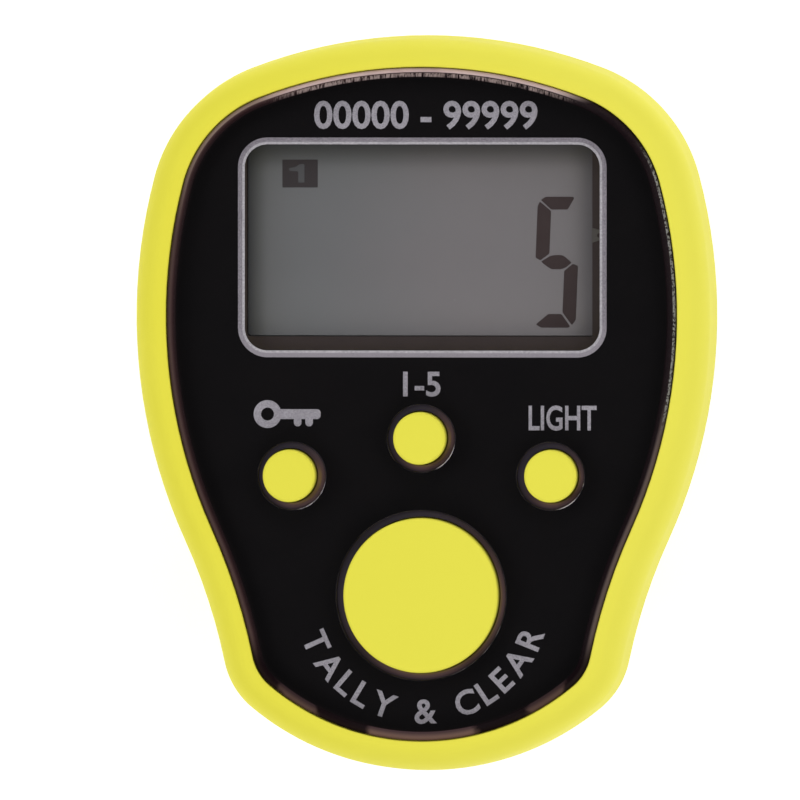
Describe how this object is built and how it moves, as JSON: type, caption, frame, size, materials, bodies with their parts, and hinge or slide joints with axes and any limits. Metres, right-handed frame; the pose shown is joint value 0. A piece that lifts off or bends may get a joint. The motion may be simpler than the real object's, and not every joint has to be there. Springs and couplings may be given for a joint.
{
  "type": "finger tally counter",
  "caption": "Finger-worn digital tally counter with a liquid crystal display, a large count button, small side buttons and a moulded strap loop on the back.",
  "frame": {"origin": "centre of the bounding box at the flat of the finger strap, where the counter stands", "axes": "+Z out of the face, +Y from the count button towards the display, +X to the right of the face"},
  "size_m": [0.0324, 0.041, 0.0291],
  "materials": {
    "yellow_plastic": "satin moulded",
    "cap_plastic": "matte moulded",
    "clear_plate": "clear polished plastic",
    "black_film": "black print",
    "black_rubber": "matte",
    "display_filter": "grey polarising film",
    "display_glass": "clear glass",
    "reflector": "silvered film",
    "light_guide": "clear moulded",
    "white_plastic": "moulded",
    "green_board": "solder mask",
    "black_resin": "cast resin",
    "steel": "nickel plated",
    "gold_plate": "plated",
    "silicone": "moulded silicone"
  },
  "bodies": {
    "case": {"front_housing": "yellow_plastic", "back_cover": "yellow_plastic", "face_plate": "clear_plate", "face_film": "black_film", "display_gasket": "black_rubber", "front_filter": "display_filter", "front_glass": "display_glass", "rear_glass": "display_glass", "rear_reflector": "reflector", "light_guide": "light_guide", "backlight_diode_left": "white_plastic", "backlight_diode_right": "white_plastic", "display_holder": "white_plastic", "connector_strip": "black_rubber", "circuit_board": "green_board", "chip_blob": "black_resin", "battery_cell": "steel", "contact_negative": "gold_plate", "contact_positive": "gold_plate", "case_screw_1": "steel", "case_screw_2": "steel", "case_screw_3": "steel", "case_screw_4": "steel", "lock_switch": "steel", "channel_switch": "steel", "light_switch": "steel", "count_switch": "steel"},
    "lock_key": {"lock_button": "cap_plastic", "lock_stem": "white_plastic"},
    "channel_key": {"channel_button": "cap_plastic", "channel_stem": "white_plastic"},
    "light_key": {"light_button": "cap_plastic", "light_stem": "white_plastic"},
    "count_key": {"count_button": "cap_plastic", "count_stem": "white_plastic"},
    "door": {"battery_door": "yellow_plastic"},
    "strap": {"finger_strap": "silicone"}
  },
  "joints": [
    {"name": "lock_press", "type": "slide", "parent": "case", "child": "lock_key", "axis": [0, 0, -1], "range_m": [0, 0.0003], "stiffness_N_per_m": 300, "springref_m": -0.0002},
    {"name": "channel_press", "type": "slide", "parent": "case", "child": "channel_key", "axis": [0, 0, -1], "range_m": [0, 0.0003], "stiffness_N_per_m": 300, "springref_m": -0.0002},
    {"name": "light_press", "type": "slide", "parent": "case", "child": "light_key", "axis": [0, 0, -1], "range_m": [0, 0.0003], "stiffness_N_per_m": 300, "springref_m": -0.0002},
    {"name": "count_press", "type": "slide", "parent": "case", "child": "count_key", "axis": [0, 0, -1], "range_m": [0, 0.0003], "stiffness_N_per_m": 400, "springref_m": -0.0002},
    {"name": "door_turn", "type": "hinge", "parent": "case", "child": "door", "pos_m": [0, -0.0104, 0.0175], "axis": [0, 0, -1], "range_deg": [0, 50]},
    {"name": "strap_unhook", "type": "hinge", "parent": "case", "child": "strap", "pos_m": [-0.013, 0, 0.016], "axis": [0, 1, 0], "range_deg": [0, 35]}
  ]
}
